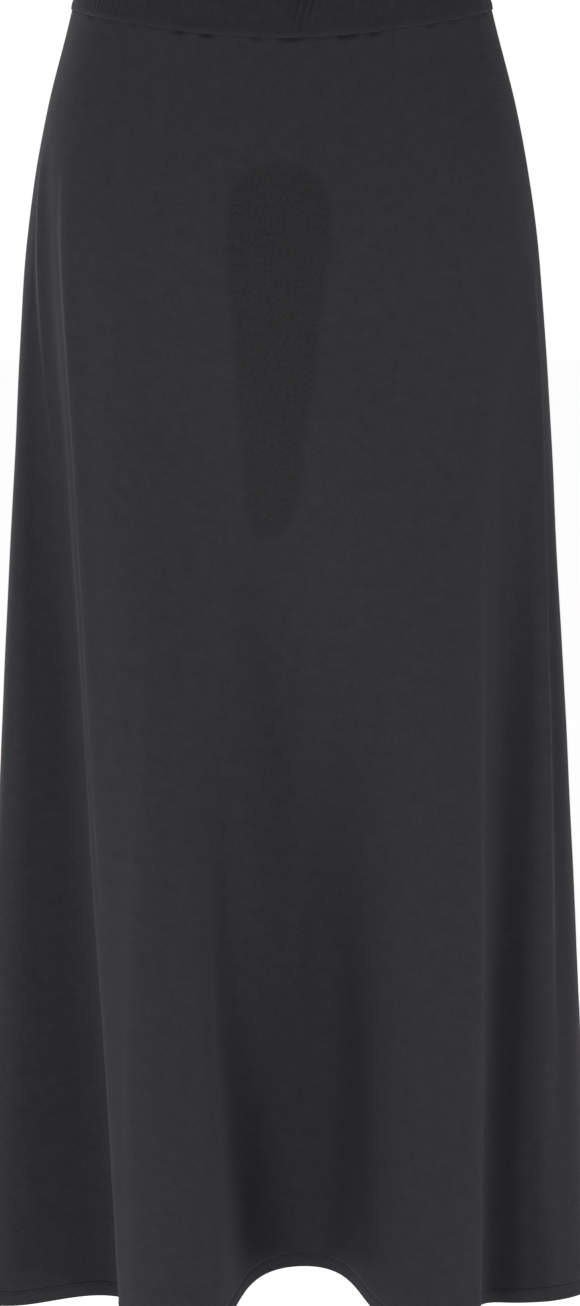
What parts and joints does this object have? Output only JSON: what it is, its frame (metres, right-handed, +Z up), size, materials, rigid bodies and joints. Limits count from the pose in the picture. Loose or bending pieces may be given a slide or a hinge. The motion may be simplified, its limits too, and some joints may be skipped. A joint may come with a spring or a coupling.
{
  "type": "knit midi skirt",
  "caption": "Flared pull-on midi skirt of plain charcoal jersey with a rib waistband and a narrow turned hem, standing open as worn, with deep soft folds.",
  "frame": {"origin": "middle of the waistband, at half its height and in the middle of the waist opening, where the wearer holds the skirt up", "axes": "+Z up along the skirt's height, -Y towards the front, +X towards the viewer's right, which is the wearer's left"},
  "size_m": [0.3969, 0.2836, 0.8712],
  "materials": {
    "jersey": "charcoal single jersey, matt with a faint sheen",
    "rib": "charcoal fine rib knit, matt"
  },
  "bodies": {
    "root": {"front_panel": "jersey", "back_panel": "jersey", "hem_front": "jersey", "hem_back": "jersey", "waistband_front": "rib", "waistband_back": "rib"}
  },
  "joints": []
}
